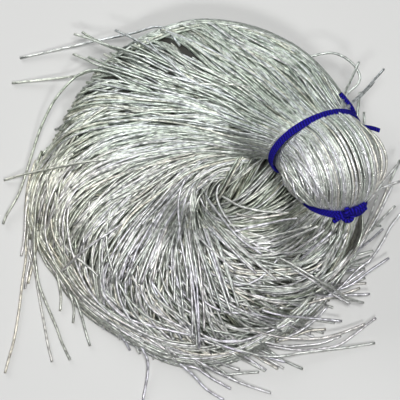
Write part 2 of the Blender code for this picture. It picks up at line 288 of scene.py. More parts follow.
# How the wires run in the whorl
# Headings are degrees anticlockwise from the view's right, read from the view at these pixels.
# The upper wires come from the neck like a broom and bend round the rim. The lower ones lie under
# the neck and the head. Both share the flow of the near side.
BROOM_FLOW = (
    # column, row, heading
    (345, 95, 112), (335, 75, 122), (322, 58, 135), (300, 125, 123), (320, 100, 118),
    (300, 90, 124), (282, 62, 140), (280, 110, 133), (285, 145, 142), (268, 88, 132),
    (255, 130, 152), (268, 150, 162), (292, 46, 150), (262, 38, 162), (225, 28, 163),
    (198, 25, 168), (178, 24, 182), (160, 27, 196), (240, 55, 143), (220, 42, 143),
    (235, 75, 142), (230, 100, 154), (235, 135, 166), (245, 153, 182), (205, 58, 141),
    (208, 90, 154), (205, 120, 160), (210, 147, 178), (185, 48, 137), (178, 75, 146),
    (170, 100, 154), (170, 127, 162), (180, 147, 183), (163, 40, 143), (160, 60, 147),
    (150, 85, 153), (146, 108, 160), (150, 130, 182), (150, 152, 190), (128, 56, 156),
    (118, 78, 158), (104, 66, 157), (112, 96, 188), (112, 114, 190), (130, 132, 180),
    (120, 155, 198), (122, 180, 216), (94, 86, 207), (80, 112, 199), (100, 126, 190),
    (80, 130, 201), (60, 126, 212), (88, 152, 207), (62, 146, 226), (44, 146, 238),
    (92, 166, 217), (60, 170, 239), (130, 186, 215), (100, 181, 225), (80, 190, 243),
    (60, 195, 252), (40, 190, 262), (28, 192, 264), (110, 206, 233), (90, 210, 244),
    (60, 216, 265), (46, 210, 268), (30, 215, 272), (86, 226, 250), (112, 230, 241),
    (150, 202, 218), (132, 216, 220), (165, 166, 212), (165, 192, 224), (185, 168, 204),
    (205, 170, 203), (223, 168, 202), (240, 163, 200), (190, 187, 217), (166, 214, 229),
    (140, 232, 236), (36, 242, 290), (52, 250, 287), (50, 268, 303), (76, 252, 276),
    (96, 266, 264), (78, 292, 308), (66, 290, 318), (98, 312, 322), (110, 290, 280),
    (130, 252, 245), (122, 328, 320), (135, 290, 288), (118, 305, 300), (150, 338, 320),
    (152, 256, 258), (170, 240, 252), (180, 222, 243), (150, 285, 272), (92, 76, 220),
    (78, 90, 228), (66, 104, 234), (54, 118, 238), (84, 102, 214), (70, 117, 222),
)
NEAR_FLOW = (
    (180, 352, 335), (212, 362, 350), (180, 325, 318), (165, 305, 303), (172, 272, 268),
    (188, 255, 270), (190, 236, 266), (193, 218, 264), (201, 214, 282), (207, 204, 300),
    (212, 222, 314), (228, 232, 312), (245, 250, 316), (196, 295, 277), (200, 335, 295),
    (222, 340, 352), (250, 346, 2), (204, 250, 295), (216, 276, 300), (226, 300, 318),
    (242, 325, 355), (230, 268, 330), (240, 290, 342), (262, 272, 335), (266, 298, 356),
    (268, 326, 2), (292, 326, 10), (265, 256, 346), (280, 284, 352), (302, 298, 8),
    (316, 308, 24), (312, 332, 12), (342, 318, 22), (296, 262, 356), (322, 262, 25),
    (346, 285, 32), (344, 268, 38), (370, 262, 48), (384, 230, 62), (392, 190, 72),
)
UNDER_FLOW = (
    (225, 185, 62), (240, 190, 62), (265, 190, 59), (275, 170, 63), (300, 200, 40),
    (250, 211, 36), (270, 228, 5), (285, 236, 26), (310, 236, 38), (326, 240, 55),
    (340, 225, 66), (233, 217, 18), (222, 200, 66), (214, 182, 74), (232, 164, 66),
    (260, 160, 60), (320, 180, 60), (350, 160, 75), (372, 190, 75), (362, 240, 58),
    (376, 220, 68), (245, 240, 340), (266, 250, 350), (300, 250, 30), (330, 258, 40),
    (350, 246, 52), (300, 224, 26), (316, 218, 36), (206, 216, 300), (196, 214, 250),
)
FLOW_SPREAD = 6.0
FLOW_HEIGHT = 16.0


def flow_table(*tables):
    rows = [row for table in tables for row in table]
    places = np.array([from_view(column, row, FLOW_HEIGHT)[:2] for column, row, heading in rows])
    turns = np.radians([heading for column, row, heading in rows])
    return places, np.stack([np.cos(turns), np.sin(turns)], axis=1)


upper_flow = flow_table(BROOM_FLOW, NEAR_FLOW)
lower_flow = flow_table(UNDER_FLOW, NEAR_FLOW)


def flow_at(table, points):
    """The direction of the flow at points, eased between the table's places."""
    places, directions = table
    gaps = ((points[:, None, :] - places[None]) ** 2).sum(axis=2)
    gaps -= gaps.min(axis=1, keepdims=True)
    weights = np.exp(-gaps / (2 * FLOW_SPREAD ** 2))
    mixed = weights @ directions
    return mixed / np.linalg.norm(mixed, axis=1, keepdims=True)


def turned(vectors, angles):
    cosines = np.cos(angles)
    sines = np.sin(angles)
    return np.stack([vectors[:, 0] * cosines - vectors[:, 1] * sines,
                     vectors[:, 0] * sines + vectors[:, 1] * cosines], axis=1)


STEP = 2.5


LOCK_WAVES = 3
LOCK_TURN = math.radians(6.5)
LOCK_CROSSING = np.radians((9.0, -11.0, 13.0, -6.0, -14.0, 10.0))
lock_dice = np.random.default_rng(5)
lock_bearings = lock_dice.uniform(0, 2 * np.pi, (6, LOCK_WAVES))
lock_lengths = lock_dice.uniform(34.0, 75.0, (6, LOCK_WAVES))
lock_phases = lock_dice.uniform(0, 2 * np.pi, (6, LOCK_WAVES))


def lock_turn(points, layers):
    """How far each layer's locks turn from the flow. On the near side the layers cross more."""
    bearings = lock_bearings[layers]
    along = points[:, :1] * np.cos(bearings) + points[:, 1:2] * np.sin(bearings)
    waves = np.sin(2 * np.pi * along / lock_lengths[layers] + lock_phases[layers])
    near = np.clip((-2.0 - points[:, 1]) / 22.0, 0.0, 1.0)
    return LOCK_TURN * waves.sum(axis=1) + near * LOCK_CROSSING[layers]


def walk(starts, steps, table, wander, layers, dice, onward=1.0, stiffness=0.5, inside=0.955):
    """Plan routes of many wires at once: each follows the flow, its lock and its own slow wander."""
    count = len(starts)
    position = starts.copy()
    heading = onward * turned(flow_at(table, position), lock_turn(position, layers))
    periods = dice.uniform(9.0, 30.0, (2, count))
    phases = dice.uniform(0, 2 * np.pi, (2, count))
    own = dice.normal(0, 1.0, count) * wander
    turning = dice.uniform(0, 1, count) < 0.4
    route = [position.copy()]
    for step in range(steps):
        sway = wander * (np.sin(2 * np.pi * step / periods[0] + phases[0])
                         + 0.5 * np.sin(2 * np.pi * step / periods[1] + phases[1]))
        wish = turned(onward * flow_at(table, position), own + sway + lock_turn(position, layers))
        share, bearings = whorl_place(position)
        outward = np.stack([np.cos(bearings), np.sin(bearings)], axis=1)
        excess = np.clip((share - inside) / 0.03, 0.0, 1.0) * np.maximum(0, (wish * outward).sum(axis=1))
        excess *= turning * (1 - np.exp(-((np.degrees(bearings) % 360 - 138) / 22.0) ** 4))
        wish = wish - outward * (1.3 * excess)[:, None]
        heading = stiffness * heading + (1 - stiffness) * wish
        heading /= np.linalg.norm(heading, axis=1, keepdims=True)
        position = position + STEP * heading
        route.append(position.copy())
    return np.stack(route, axis=1)


def eased(values, times=2):
    """Values along a wire with their kinks taken out."""
    for repeat in range(times):
        padded = np.concatenate([values[:1], values, values[-1:]])
        values = 0.25 * padded[:-2] + 0.5 * padded[1:-1] + 0.25 * padded[2:]
    return values


# The coil wire
# Fine silvered copper wire wound as a close coil about 1 mm across and cut to length. Each length
# is a slim closed tube with its own tone, and its turns are in the finish.
WIRE_RADIUS = 0.52
WIRE_SIDES = 6


def tube_points(route, radius, sides):
    along = np.gradient(route, axis=0)
    along /= np.linalg.norm(along, axis=1, keepdims=True)
    side = np.cross(along, (0.0, 0.0, 1.0)) + 1e-6
    side /= np.linalg.norm(side, axis=1, keepdims=True)
    up = np.cross(side, along)
    turns = np.linspace(0, 2 * np.pi, sides, endpoint=False)
    return (route[:, None] + radius * (side[:, None] * np.cos(turns)[None, :, None]
                                       + up[:, None] * np.sin(turns)[None, :, None]))


def strip_places(lengths, width):
    """Packs strips upright, side by side in shelves, into a square; returns corners and its side."""
    room = math.sqrt(1.08 * float((lengths + width).sum() * width))
    corners = np.zeros((len(lengths), 2))
    across = 0.0
    shelf = 0.0
    tallest = 0.0
    for index in np.argsort(-lengths):
        if across + width > room:
            across = 0.0
            shelf += tallest + 0.4 * width
            tallest = 0.0
        corners[index] = (across, shelf)
        tallest = max(tallest, lengths[index])
        across += width
    return corners, max(room, shelf + tallest)


def wire_piece(name, routes, radius, finish, dice, sides=WIRE_SIDES, node="hank",
               shade_depths=None):
    """One piece of many wires, with a map of the wires' own surface and a packed one for baking."""
    girth = 2 * math.pi * radius
    runs = [np.concatenate([[0.0], np.linalg.norm(np.diff(route, axis=0), axis=1).cumsum()])
            for route in routes]
    corners, square = strip_places(np.array([run[-1] for run in runs]), girth * 1.15)
    shade_depths = np.zeros(len(routes)) if shade_depths is None else shade_depths
    points, faces, tones, painted_shade, wire_map, bake_map = [], [], [], [], [], []
    base = 0
    ring = np.arange(sides)
    edge = np.stack([ring, ring + 1], axis=1) / sides
    for route, run, corner, depth in zip(routes, runs, corners, shade_depths):
        count = len(route)
        points.append(tube_points(route, radius, sides).reshape(-1, 3))
        tones.append(np.full(count * sides, dice.uniform()))
        painted_shade.append(np.full(count * sides, depth))
        low = base + np.arange(count - 1)[:, None] * sides + ring[None]
        low_next = base + np.arange(count - 1)[:, None] * sides + (ring + 1)[None] % sides
        quads = np.stack([low, low + sides, low_next + sides, low_next], axis=2).reshape(-1, 4)
        faces += quads.tolist()
        around = np.broadcast_to(np.stack([edge[:, 0], edge[:, 0], edge[:, 1], edge[:, 1]], axis=1),
                                 (count - 1, sides, 4))
        ahead = np.broadcast_to(np.stack([run[:-1], run[1:], run[1:], run[:-1]], axis=1)[:, None],
                                (count - 1, sides, 4))
        flat = np.stack([around.reshape(-1), ahead.reshape(-1)], axis=1)
        wire_map.append(flat)
        bake_map.append((corner + flat * (girth, 1.0)) / square)
        faces.append((base + ring).tolist())
        faces.append((base + (count - 1) * sides + ring[::-1]).tolist())
        for start in (run[0], run[-1]):
            cap = np.full((sides, 2), (0.5, start))
            wire_map.append(cap)
            spot = corner + (girth * 0.5, start)
            bake_map.append((spot + 0.1 * girth * np.stack([np.cos(ring), np.sin(ring)], axis=1)) / square)
        base += count * sides
    mesh = bpy.data.meshes.new(name)
    placed = MM * (np.concatenate(points) + HANK_SHIFT)
    mesh.from_pydata(placed.tolist(), [], faces)
    for label, values in (("Wire", wire_map), ("OFBake", bake_map)):
        layer = mesh.uv_layers.new(name=label)
        layer.data.foreach_set("uv", np.concatenate(values).astype(np.float32).ravel())
    # Each wire's tone is its own colour; its second value is the painted shade that darkens it.
    for label, values in (("tone", tones), ("depth", painted_shade)):
        layer = mesh.attributes.new(label, "FLOAT", "POINT")
        layer.data.foreach_set("value", np.concatenate(values).astype(np.float32))
    mesh.shade_smooth()
    mesh.materials.append(finish)
    piece = bpy.data.objects.new(name, mesh)
    bpy.context.collection.objects.link(piece)
    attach(piece, "root")
    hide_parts(node)
    print(name, len(routes), "wires", len(mesh.loops) - 2 * len(mesh.polygons), "triangles")
    return piece


def wound_group():
    """A node group for anything wound or twisted: turns along a strand, and small kinks in it."""
    group = bpy.data.node_groups.new("wound strand", "ShaderNodeTree")
    for label, default in (("Pitch", 0.3), ("Kink Length", 1.3), ("Kink Share", 0.6)):
        socket = group.interface.new_socket(label, in_out="INPUT", socket_type="NodeSocketFloat")
        socket.default_value = default
    for label in ("Turns", "Kinks", "Height", "Tone"):
        group.interface.new_socket(label, in_out="OUTPUT", socket_type="NodeSocketFloat")
    nodes = group.nodes
    links = group.links
    entry = nodes.new("NodeGroupInput")
    leave = nodes.new("NodeGroupOutput")
    strand = nodes.new("ShaderNodeUVMap")
    strand.uv_map = "Wire"
    parts = nodes.new("ShaderNodeSeparateXYZ")
    links.new(strand.outputs["UV"], parts.inputs[0])
    tone = nodes.new("ShaderNodeAttribute")
    tone.attribute_name = "tone"

    def sum_of(kind, first, second, third=None):
        node = nodes.new("ShaderNodeMath")
        node.operation = kind
        for index, value in enumerate((first, second, third)):
            if value is None:
                continue
            if isinstance(value, (int, float)):
                node.inputs[index].default_value = value
            else:
                links.new(value, node.inputs[index])
        return node.outputs[0]

    around = sum_of("MULTIPLY", parts.outputs["X"], 2 * math.pi)
    ahead = sum_of("DIVIDE", parts.outputs["Y"], entry.outputs["Pitch"])
    phase = sum_of("MULTIPLY_ADD", ahead, 2 * math.pi, around)
    turns = sum_of("MULTIPLY_ADD", sum_of("SINE", phase, None), 0.5, 0.5)
    place = nodes.new("ShaderNodeCombineXYZ")
    links.new(sum_of("MULTIPLY", sum_of("COSINE", around, None), 0.42), place.inputs["X"])
    links.new(sum_of("MULTIPLY", sum_of("SINE", around, None), 0.42), place.inputs["Y"])
    own = sum_of("MULTIPLY", tone.outputs["Fac"], 371.0)
    links.new(sum_of("ADD", sum_of("DIVIDE", parts.outputs["Y"], entry.outputs["Kink Length"]), own),
              place.inputs["Z"])
    noise = nodes.new("ShaderNodeTexNoise")
    noise.inputs["Scale"].default_value = 1.0
    noise.inputs["Detail"].default_value = 2.0
    links.new(place.outputs[0], noise.inputs["Vector"])
    kinks = noise.outputs["Fac"]
    mixed = nodes.new("ShaderNodeMix")
    links.new(entry.outputs["Kink Share"], mixed.inputs["Factor"])
    links.new(turns, mixed.inputs[2])
    links.new(kinks, mixed.inputs[3])
    links.new(turns, leave.inputs["Turns"])
    links.new(kinks, leave.inputs["Kinks"])
    links.new(mixed.outputs[0], leave.inputs["Height"])
    links.new(tone.outputs["Fac"], leave.inputs["Tone"])
    return group


wound_strand = wound_group()


def ramp(nodes, links, source, stops):
    """A colour ramp fed by a value; stops are (place, colour)."""
    node = nodes.new("ShaderNodeValToRGB")
    elements = node.color_ramp.elements
    while len(elements) < len(stops):
        elements.new(0.5)
    for element, (place, colour) in zip(elements, stops):
        element.position = place
        element.color = (*colour, 1.0)
    links.new(source, node.inputs["Fac"])
    return node.outputs["Color"]


# Painted light: the silver is tinted by where it lies, greener and a little darker on the far side, warmer
# on the left and cooler on the near side, as coloured light falls there.
PAINTED_LIGHT_TINTS = (
    # axis, where the tint begins and is full in metres, tint
    ("Y", 0.006, 0.030, (0.905, 0.955, 0.92)),
    ("X", -0.030, -0.062, (1.0, 0.985, 0.93)),
    ("Y", -0.002, -0.040, (0.985, 0.975, 1.0)),
)


def tinted(nodes, links, base, tint, share):
    """Multiplies a colour by another or by a fixed tint, in full or by a share."""
    node = nodes.new("ShaderNodeMix")
    node.data_type = "RGBA"
    node.blend_type = "MULTIPLY"
    node.inputs["Factor"].default_value = 1.0
    links.new(base, node.inputs["A"])
    if isinstance(tint, tuple):
        node.inputs["B"].default_value = (*tint, 1.0)
    else:
        links.new(tint, node.inputs["B"])
    if share is not None:
        links.new(share, node.inputs["Factor"])
    return node.outputs["Result"]


DEEPEST_LAID_SHADE = 0.9


def silver_finish(name, brightness, darkest, roughest, smoothest):
    """Bright coil wire: grey silver, some lengths warmer, greener or cooler, with sharp small kinks."""
    material = bpy.data.materials.new(name)
    material.use_nodes = True
    nodes = material.node_tree.nodes
    links = material.node_tree.links
    shader = nodes["Principled BSDF"]
    shader.inputs["Metallic"].default_value = 1.0
    wound = nodes.new("ShaderNodeGroup")
    wound.node_tree = wound_strand
    wound.inputs["Pitch"].default_value = 0.42
    wound.inputs["Kink Length"].default_value = 1.9
    wound.inputs["Kink Share"].default_value = 0.72
    tones = ((0.0, (0.67, 0.71, 0.66)), (0.3, (0.81, 0.83, 0.78)), (0.55, (0.88, 0.88, 0.87)),
             (0.8, (0.84, 0.83, 0.89)), (1.0, (0.89, 0.86, 0.76)))
    tones = [(place, tuple(brightness * value for value in colour)) for place, colour in tones]
    tint = ramp(nodes, links, wound.outputs["Tone"], tones)
    # Painted glints and shade: the colour goes lighter and darker along each wire with its kinks.
    shade = ramp(nodes, links, wound.outputs["Kinks"],
                 ((0.34, (darkest,) * 3), (0.49, (0.78, 0.79, 0.78)), (0.62, (1.0, 1.0, 1.0))))
    # Painted shade: wires marked as lying deep get darker and greener, the deepest nearly black.
    depth = nodes.new("ShaderNodeAttribute")
    depth.attribute_name = "depth"
    deep = ramp(nodes, links, depth.outputs["Fac"],
                ((0.0, (1.0, 1.0, 1.0)), (0.35, (0.91, 0.92, 0.89)), (DEEPEST_LAID_SHADE, (0.44, 0.47, 0.40)),
                 (1.0, (0.12, 0.12, 0.10))))
    place = nodes.new("ShaderNodeTexCoord")
    sides = nodes.new("ShaderNodeSeparateXYZ")
    links.new(place.outputs["Object"], sides.inputs[0])
    colour = tinted(nodes, links, tint, shade, None)
    colour = tinted(nodes, links, colour, deep, None)
    for axis, first, last, tone in PAINTED_LIGHT_TINTS:
        span = nodes.new("ShaderNodeMapRange")
        span.interpolation_type = "SMOOTHSTEP"
        span.inputs["From Min"].default_value = first
        span.inputs["From Max"].default_value = last
        links.new(sides.outputs[axis], span.inputs["Value"])
        colour = tinted(nodes, links, colour, tone, span.outputs["Result"])
    links.new(colour, shader.inputs["Base Color"])
    rough = nodes.new("ShaderNodeMapRange")
    rough.inputs["From Min"].default_value = 0.35
    rough.inputs["From Max"].default_value = 0.65
    rough.inputs["To Min"].default_value = roughest
    rough.inputs["To Max"].default_value = smoothest
    links.new(wound.outputs["Kinks"], rough.inputs["Value"])
    links.new(rough.outputs["Result"], shader.inputs["Roughness"])
    bump = nodes.new("ShaderNodeBump")
    bump.inputs["Strength"].default_value = 0.45
    bump.inputs["Distance"].default_value = 0.00035
    links.new(wound.outputs["Height"], bump.inputs["Height"])
    links.new(bump.outputs["Normal"], shader.inputs["Normal"])
    return material


silver = silver_finish("silver coil wire", 0.95, 0.44, 0.50, 0.31)

# The laid wires of the whorl
# Lengths of wire lie over one another in the heap, each following the flow. Where a length begins
# it dives under its neighbours, and many of its far ends show as plain cuts.
LAID_COUNT = 1280
EYE_COUNT = 210
FAR_COUNT = 230
EYE_HOLE = np.array((0.2, -1.6))
EYE_HOLE_SIZE = np.array((2.0, 5.6))
FAR_CUTS = (0.965, 1.02)
RIM_CUTS = (0.925, 0.985)
HOLLOW_LINE = ((358, 226), (348, 258))
HOLLOW_REACH = 3.2
HOLLOW_SINK = 3.0
LAYER = 0.95
LAYERS = 5.0
dice = np.random.default_rng(11)


def bridged(run, heights, fall=1.6):
    """Heights along a wire that never drop faster than a wire bends, so it spans what is hollow."""
    heights = heights.copy()
    for places in (range(1, len(run)), range(len(run) - 2, -1, -1)):
        for place in places:
            other = place - 1 if places.step > 0 else place + 1
            heights[place] = max(heights[place], heights[other] - fall * abs(run[place] - run[other]))
    return heights


def laid_heights(form, plan, rank, tuck_start, tuck_end):
    """Gives a plan route its heights: on the form, down its layer, and tucked in at its ends."""
    top = top_of(form, plan)
    run = np.arange(len(plan)) * STEP
    tuck = tuck_start * np.clip(1 - run / 14.0, 0, 1) ** 2
    tuck += tuck_end * np.clip(1 - (run[-1] - run) / 14.0, 0, 1) ** 2
    inner = whorl_place(plan)[0] < 0.85
    bridge = np.where(inner, bridged(run, top), top)
    height = eased(bridge - WIRE_RADIUS - rank * LAYER - tuck, 3)
    return np.column_stack([plan, np.maximum(height, WIRE_RADIUS)])


def in_hollow(plan):
    """Which places of a wire lie over the dark hollow beside the end tie, under the loose wires."""
    first, last = [np.array(from_view(column, row, 8.0)[:2]) for column, row in HOLLOW_LINE]
    along = last - first
    share = np.clip(((plan - first) @ along) / (along @ along), 0, 1)
    return np.linalg.norm(plan - first - share[:, None] * along, axis=1) < HOLLOW_REACH


def cut_at_rim(plan, edge=0.99):
    """Ends a wire where it comes over the edge of the heap."""
    share, bearing = whorl_place(plan)
    over = np.flatnonzero(share > edge)
    over = over[over > 3]
    return plan[:over[0] + 1] if len(over) else plan


index = np.arange(LAID_COUNT) + 0.5
seed_share = np.sqrt(index / LAID_COUNT) * 0.97 + 0.02
seed_bearing = index * np.pi * (3 - math.sqrt(5))
eye_share = dice.uniform(0.02, 0.36, EYE_COUNT)
far_share = dice.uniform(0.35, 0.97, FAR_COUNT)
far_bearing = np.radians(dice.uniform(35, 170, FAR_COUNT))
seed_share = np.concatenate([seed_share, eye_share, far_share])
seed_bearing = np.concatenate([seed_bearing, dice.uniform(0, 2 * np.pi, EYE_COUNT), far_bearing])
seed_reach = seed_share * by_bearing(RIM_REACH, seed_bearing)
seeds = EYE + seed_reach[:, None] * np.stack([np.cos(seed_bearing), np.sin(seed_bearing)], axis=1)
seeds += dice.normal(0, 1.0, seeds.shape)
broom_edge = np.array([from_view(column, row, 20.0)[:2] for column, row in
                       ((150, 172), (185, 178), (205, 180), (240, 158), (285, 166), (330, 186))])
edge_row = np.interp(seeds[:, 0], broom_edge[:, 0], broom_edge[:, 1])
under = (seeds[:, 0] > 4.0) & (seeds[:, 1] < edge_row - 1.0) & (seeds[:, 1] > -16.0)
neck_middle, neck_side, neck_up, neck_along, neck_wide, neck_high = [
    value[0] for value in bunch_frame(np.array([NECK_TIE_ROW]))]

laid_routes = []
laid_shade_depths = []
for is_under, table, form in ((False, upper_flow, upper_form), (True, lower_flow, lower_form)):
    chosen = seeds[under == is_under]
    ranks = LAYERS * dice.uniform(0.0, 1.0, len(chosen)) ** 0.8
    wander = np.abs(dice.normal(0.0, 0.08, len(chosen))) + 0.02
    wander *= 1 + 0.8 * np.clip(-chosen[:, 1] / 25.0, 0, 1)
    back_steps = 18
    onward_steps = 26
    behind = walk(chosen, back_steps, table, wander, ranks.astype(int), dice, onward=-1.0)
    ahead = walk(chosen, onward_steps, table, wander, ranks.astype(int), dice)
    for wire in range(len(chosen)):
        rear = int(dice.uniform(5, back_steps))
        front = int(dice.uniform(6, onward_steps))
        plan = np.concatenate([behind[wire, 1:rear][::-1], ahead[wire, :front]])
        blocked = np.linalg.norm((plan - EYE_HOLE) / EYE_HOLE_SIZE, axis=1) < 1.0
        if not is_under:
            blocked |= ((plan - neck_middle[:2]) @ neck_along[:2] < 4.0) & (plan[:, 0] > 20.0) & (
                plan[:, 1] > 4.0)
        behind_seed = np.flatnonzero(blocked[:rear])
        if len(behind_seed):
            plan = plan[behind_seed[-1] + 1:]
        bearing = math.degrees(whorl_place(plan[-1])[1]) % 360
        plan = cut_at_rim(plan, dice.uniform(*(FAR_CUTS if 95 < bearing < 165 else RIM_CUTS)))
        if len(plan) < 8:
            continue
        hollow = in_hollow(plan).any()
        cut = 0.0 if dice.uniform() < 0.5 else 2.0
        deep = ranks[wire] + (HOLLOW_SINK if hollow else 0.0)
        laid_routes.append(laid_heights(form, plan, deep, 2.5, cut))
        # Painted shade: a laid wire is darker the deeper it lies, more so on the near side and less on the
        # far side, darker again under the neck and head, and nearly black over the hollow.
        halfway = plan[len(plan) // 2, 1]
        painted_shade = ranks[wire] / LAYERS * np.interp(halfway, (-30.0, 5.0, 35.0), (1.4, 0.75, 0.25))
        if is_under:
            painted_shade = painted_shade + 0.42 * np.interp(halfway, (-14.0, 0.0), (0.1, 1.0))
        laid_shade_depths.append(1.0 if hollow else min(painted_shade, DEEPEST_LAID_SHADE))

silver_count = 5
for part in range(silver_count):
    wire_piece(f"laid_wires_{part + 1}", laid_routes[part::silver_count], WIRE_RADIUS, silver, dice,
               shade_depths=laid_shade_depths[part::silver_count])

# The wires of the head
# Between the two ties the whole bunch swells into a ball, and its wires run from tie to tie like
# meridians. They are the same lengths that go on into the whorl on both sides.
HEAD_ROWS = (170, 130)
HEAD_INSET = (0.5, 1.4)
BOWED = (
    # degrees round from the outer side at both ends, first and last row, how far the wire bows out
    (10, 13, 4.0, 7.4, 3.4), (18, 21, 4.3, 7.6, 1.9), (150, 153, 4.0, 6.8, 1.7),
    (118, 172, 4.0, 7.6, 1.2), (112, 165, 4.0, 7.3, 1.4), (104, 158, 4.0, 7.8, 1.1),
    (126, 174, 4.0, 6.9, 1.3), (97, 148, 4.0, 7.9, 1.0),
)
bow = np.sin(np.linspace(0, np.pi, 26))
head_routes = []
for count, inset in zip(HEAD_ROWS, HEAD_INSET):
    for wire in range(count):
        angle = 2 * np.pi * (wire + dice.uniform(-0.3, 0.3)) / count
        places = np.linspace(END_TIE_ROW - 0.05, NECK_TIE_ROW + 0.05, 26)
        sway = dice.normal(0, 0.018) * np.sin(np.linspace(0, np.pi, 26) + dice.uniform(-0.5, 0.5))
        lift = inset + np.abs(dice.normal(0, 0.10)) - 0.2 * dice.uniform() * bow
        head_routes.append(on_bunch(places, angle + sway, lift))
for wire in range(26):
    places = np.linspace(END_TIE_ROW - 0.05, NECK_TIE_ROW + 0.05, 26)
    angles = dice.uniform(np.radians(5), np.radians(185)) + dice.normal(0, 0.10) * bow
    angles = angles + dice.normal(0, 0.06) * np.linspace(-1, 1, 26)
    head_routes.append(on_bunch(places, angles, 0.8 - dice.uniform(0.5, 1.3) * bow))
for angle, last_angle, first, last, reach in BOWED:
    places = np.linspace(first, last, 26)
    angles = np.radians(np.linspace(angle, last_angle, 26))
    head_routes.append(on_bunch(places, angles, 0.6 - reach * bow ** 2))
# The head's silver is partly real, a smoother surface, and partly painted light: a brighter colour with
# less painted shade at its kinks.
tight_lit_silver = silver_finish("silver coil wire drawn tight", 0.97, 0.50, 0.42, 0.26)
wire_piece("head_wires", head_routes, WIRE_RADIUS, tight_lit_silver, dice)

# The wires that leave the neck
# Past the neck tie the bunch opens like a broom, over the inner whorl and round the far rim.
NECK_TOP_COUNT = 190
NECK_UNDER_COUNT = 190
neck_routes = []
fan = np.linspace(np.radians(-8), np.radians(188), NECK_TOP_COUNT)
fan = dice.permutation(fan)
starts = on_bunch(np.full(NECK_TOP_COUNT, NECK_TIE_ROW + 0.1), fan, WIRE_RADIUS)
wander = np.abs(dice.normal(0.0, 0.06, NECK_TOP_COUNT)) + 0.02
ranks = dice.uniform(0.0, 3.0, NECK_TOP_COUNT)
plans = walk(starts[:, :2], 62, upper_flow, wander, ranks.astype(int), dice, stiffness=0.8)
for wire in range(NECK_TOP_COUNT):
    plan = cut_at_rim(plans[wire, :int(dice.uniform(22, 62))])
    route = laid_heights(upper_form, plan, ranks[wire] - 0.6, 0.0, 0.0 if dice.uniform() < 0.6 else 2.0)
    ease = np.clip(1 - np.arange(len(plan)) * STEP / 24.0, 0, 1)
    ease = ease * ease * (3 - 2 * ease)
    route[:, 2] = route[:, 2] * (1 - ease) + (starts[wire, 2] - 0.40 * np.arange(len(plan)) * STEP) * ease
    neck_routes.append(route)
for wire in range(NECK_UNDER_COUNT):
    outer = dice.uniform() < 0.68
    angle = np.radians(dice.uniform(-95, 28) if outer else dice.uniform(180, 265))
    places = np.linspace(NECK_TIE_ROW + 0.02, dice.uniform(10.5, 13.5), 26)
    drift = np.linspace(0, dice.uniform(-0.35, 0.2), 26)
    route = on_bunch(places, np.full(26, angle) + drift, WIRE_RADIUS + dice.uniform(0, 1.2))
    route[:, 2] = np.maximum(route[:, 2], WIRE_RADIUS)
    neck_routes.append(route)
# Painted shade: the broom's wires are darkened a little by their layer, the wires under the bunch by a
# random share.
neck_shade_depths = np.concatenate([ranks / 8.0, dice.uniform(0.0, 0.6, NECK_UNDER_COUNT)])
wire_piece("neck_wires", neck_routes, WIRE_RADIUS, silver, dice, shade_depths=neck_shade_depths)

# The wires that leave the end tie
# Below the head the bunch turns under it and spreads over the near part of the whorl.
LOWER_COUNT = 170
lower_routes = []
hidden_routes = []
turn = dice.permutation(np.linspace(0, 2 * np.pi, LOWER_COUNT, endpoint=False))
starts = on_bunch(np.full(LOWER_COUNT, END_TIE_ROW - 0.1), turn, WIRE_RADIUS)
wander = np.abs(dice.normal(0.0, 0.08, LOWER_COUNT)) + 0.03
ranks = dice.uniform(0.0, 2.0, LOWER_COUNT)
plans = walk(starts[:, :2], 26, lower_flow, wander, ranks.astype(int), dice, onward=-1.0)
for wire in range(LOWER_COUNT):
    if turn[wire] > np.pi:
        places = np.linspace(END_TIE_ROW - 0.05, dice.uniform(0.8, 2.0), 22)
        lower_routes.append(on_bunch(places, np.full(22, turn[wire]), WIRE_RADIUS))
        continue
    plan = plans[wire, :int(dice.uniform(12, 26))]
    if in_hollow(plan).any():
        places = np.linspace(END_TIE_ROW - 0.05, dice.uniform(0.8, 2.0), 22)
        hidden_routes.append(on_bunch(places, np.full(22, turn[wire]), WIRE_RADIUS + 1.0))
        continue
    route = laid_heights(lower_form, plan, ranks[wire], 0.0, 2.5)
    ease = np.clip(1 - np.arange(len(plan)) * STEP / 14.0, 0, 1)
    ease = ease * ease * (3 - 2 * ease)
    fall = starts[wire, 2] - 0.6 * np.arange(len(plan)) * STEP
    route[:, 2] = route[:, 2] * (1 - ease) + np.maximum(fall, route[:, 2]) * ease
    lower_routes.append(route)
# Painted shade: wires below the head are darkened by a random share, the hidden ones beside the end tie
# nearly black.
lower_shade_depths = [*dice.uniform(0.0, DEEPEST_LAID_SHADE, len(lower_routes)), *np.ones(len(hidden_routes))]
wire_piece("lower_wires", lower_routes + hidden_routes, WIRE_RADIUS, silver, dice, shade_depths=lower_shade_depths)

